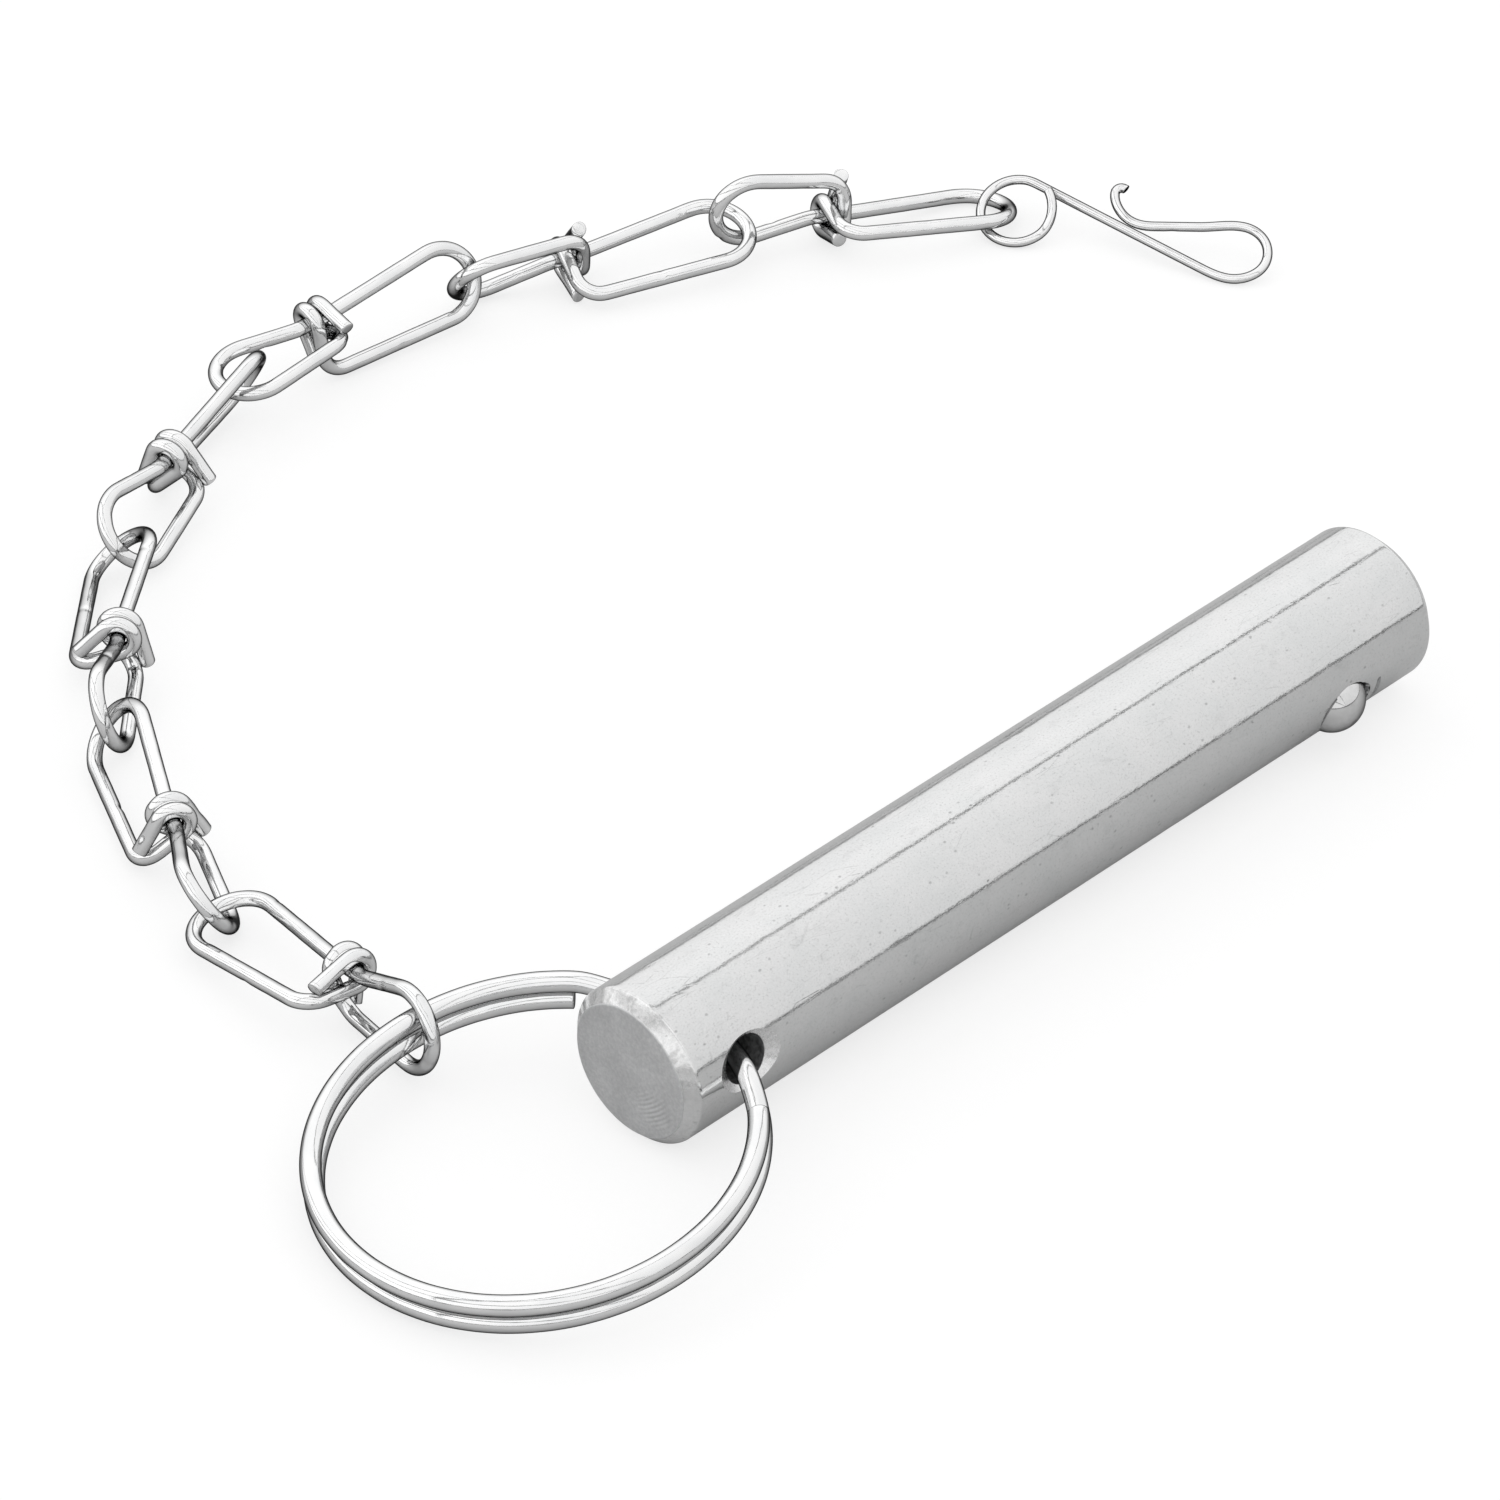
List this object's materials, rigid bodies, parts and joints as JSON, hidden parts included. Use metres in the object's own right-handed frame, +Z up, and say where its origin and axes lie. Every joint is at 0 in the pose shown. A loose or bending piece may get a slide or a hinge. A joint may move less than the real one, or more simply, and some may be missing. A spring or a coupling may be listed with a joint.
{
  "type": "hitch pin lock",
  "caption": "Straight steel hitch pin with a sprung detent ball at its tip, tethered by a split ring and a double-loop wire chain ending in a wire spring clip.",
  "frame": {"origin": "on the pin's axis, midway between its two end faces", "axes": "+X along the pin from the ring end to the detent-ball end, +Z up with the lock lying on a floor at z = -9.525 mm, +Y to the side the chain lies on"},
  "size_m": [0.2116, 0.1582, 0.019],
  "materials": {
    "pin_zinc": "bright zinc plate over drawn bar, fine die lines, small dents",
    "ball_steel": "polished hardened steel",
    "spring_steel": "plain spring wire",
    "ring_zinc": "bright zinc plated spring wire",
    "chain_zinc": "bright zinc plated wire",
    "clip_zinc": "bright zinc plated spring wire"
  },
  "bodies": {
    "pin": {"pin_body": "pin_zinc", "detent_spring": "spring_steel"},
    "ball": {"detent_ball": "ball_steel"},
    "ring": {"split_ring": "ring_zinc"},
    "link_1": {"chain_link_1": "chain_zinc"},
    "link_2": {"chain_link_2": "chain_zinc"},
    "link_3": {"chain_link_3": "chain_zinc"},
    "link_4": {"chain_link_4": "chain_zinc"},
    "link_5": {"chain_link_5": "chain_zinc"},
    "link_6": {"chain_link_6": "chain_zinc"},
    "link_7": {"chain_link_7": "chain_zinc"},
    "clip": {"spring_clip": "clip_zinc"}
  },
  "joints": [
    {"name": "ball_press", "type": "slide", "parent": "pin", "child": "ball", "axis": [0, 0.9219, 0.3875], "range_m": [0, 0.0019], "stiffness_N_per_m": 400, "springref_m": -0.002, "deforming": ["detent_spring"]},
    {"name": "ring_swing", "type": "hinge", "parent": "pin", "child": "ring", "pos_m": [-0.0512, 0, 0], "axis": [0, -0.9869, 0.1616], "range_deg": [-150, 150]},
    {"name": "ring_to_link_1", "type": "hinge", "parent": "ring", "child": "link_1", "pos_m": [-0.07365, 0.0008, -0.00334], "axis": [-0.1454, 0.016, 0.9892], "range_deg": [-40, 180]},
    {"name": "link_1_to_2", "type": "hinge", "parent": "link_1", "child": "link_2", "pos_m": [-0.06629, 0.05822, -0.00617], "axis": [0.8378, -0.4833, 0.254], "range_deg": [-75, 45]},
    {"name": "link_2_to_3", "type": "hinge", "parent": "link_2", "child": "link_3", "pos_m": [-0.05549, 0.08869, -0.0056], "axis": [-0.4985, 0.0004, 0.8669], "range_deg": [-30, 75]},
    {"name": "link_3_to_4", "type": "hinge", "parent": "link_3", "child": "link_4", "pos_m": [-0.03102, 0.11458, -0.00525], "axis": [-0.3432, 0.595, 0.7268], "range_deg": [-75, 75]},
    {"name": "link_4_to_5", "type": "hinge", "parent": "link_4", "child": "link_5", "pos_m": [0.00386, 0.12926, -0.00404], "axis": [-0.1641, 0.4351, -0.8853], "range_deg": [-75, 40]},
    {"name": "link_5_to_6", "type": "hinge", "parent": "link_5", "child": "link_6", "pos_m": [0.03592, 0.12501, -0.00275], "axis": [0.2466, -0.3646, -0.8979], "range_deg": [-15, 75]},
    {"name": "link_6_to_7", "type": "hinge", "parent": "link_6", "child": "link_7", "pos_m": [0.06808, 0.1096, -0.00508], "axis": [-0.4187, -0.8691, -0.2633], "range_deg": [-75, 75]},
    {"name": "link_7_to_clip", "type": "hinge", "parent": "link_7", "child": "clip", "pos_m": [0.09583, 0.09027, -0.00691], "axis": [0.3942, 0.2117, -0.8943], "range_deg": [-60, 60]}
  ]
}
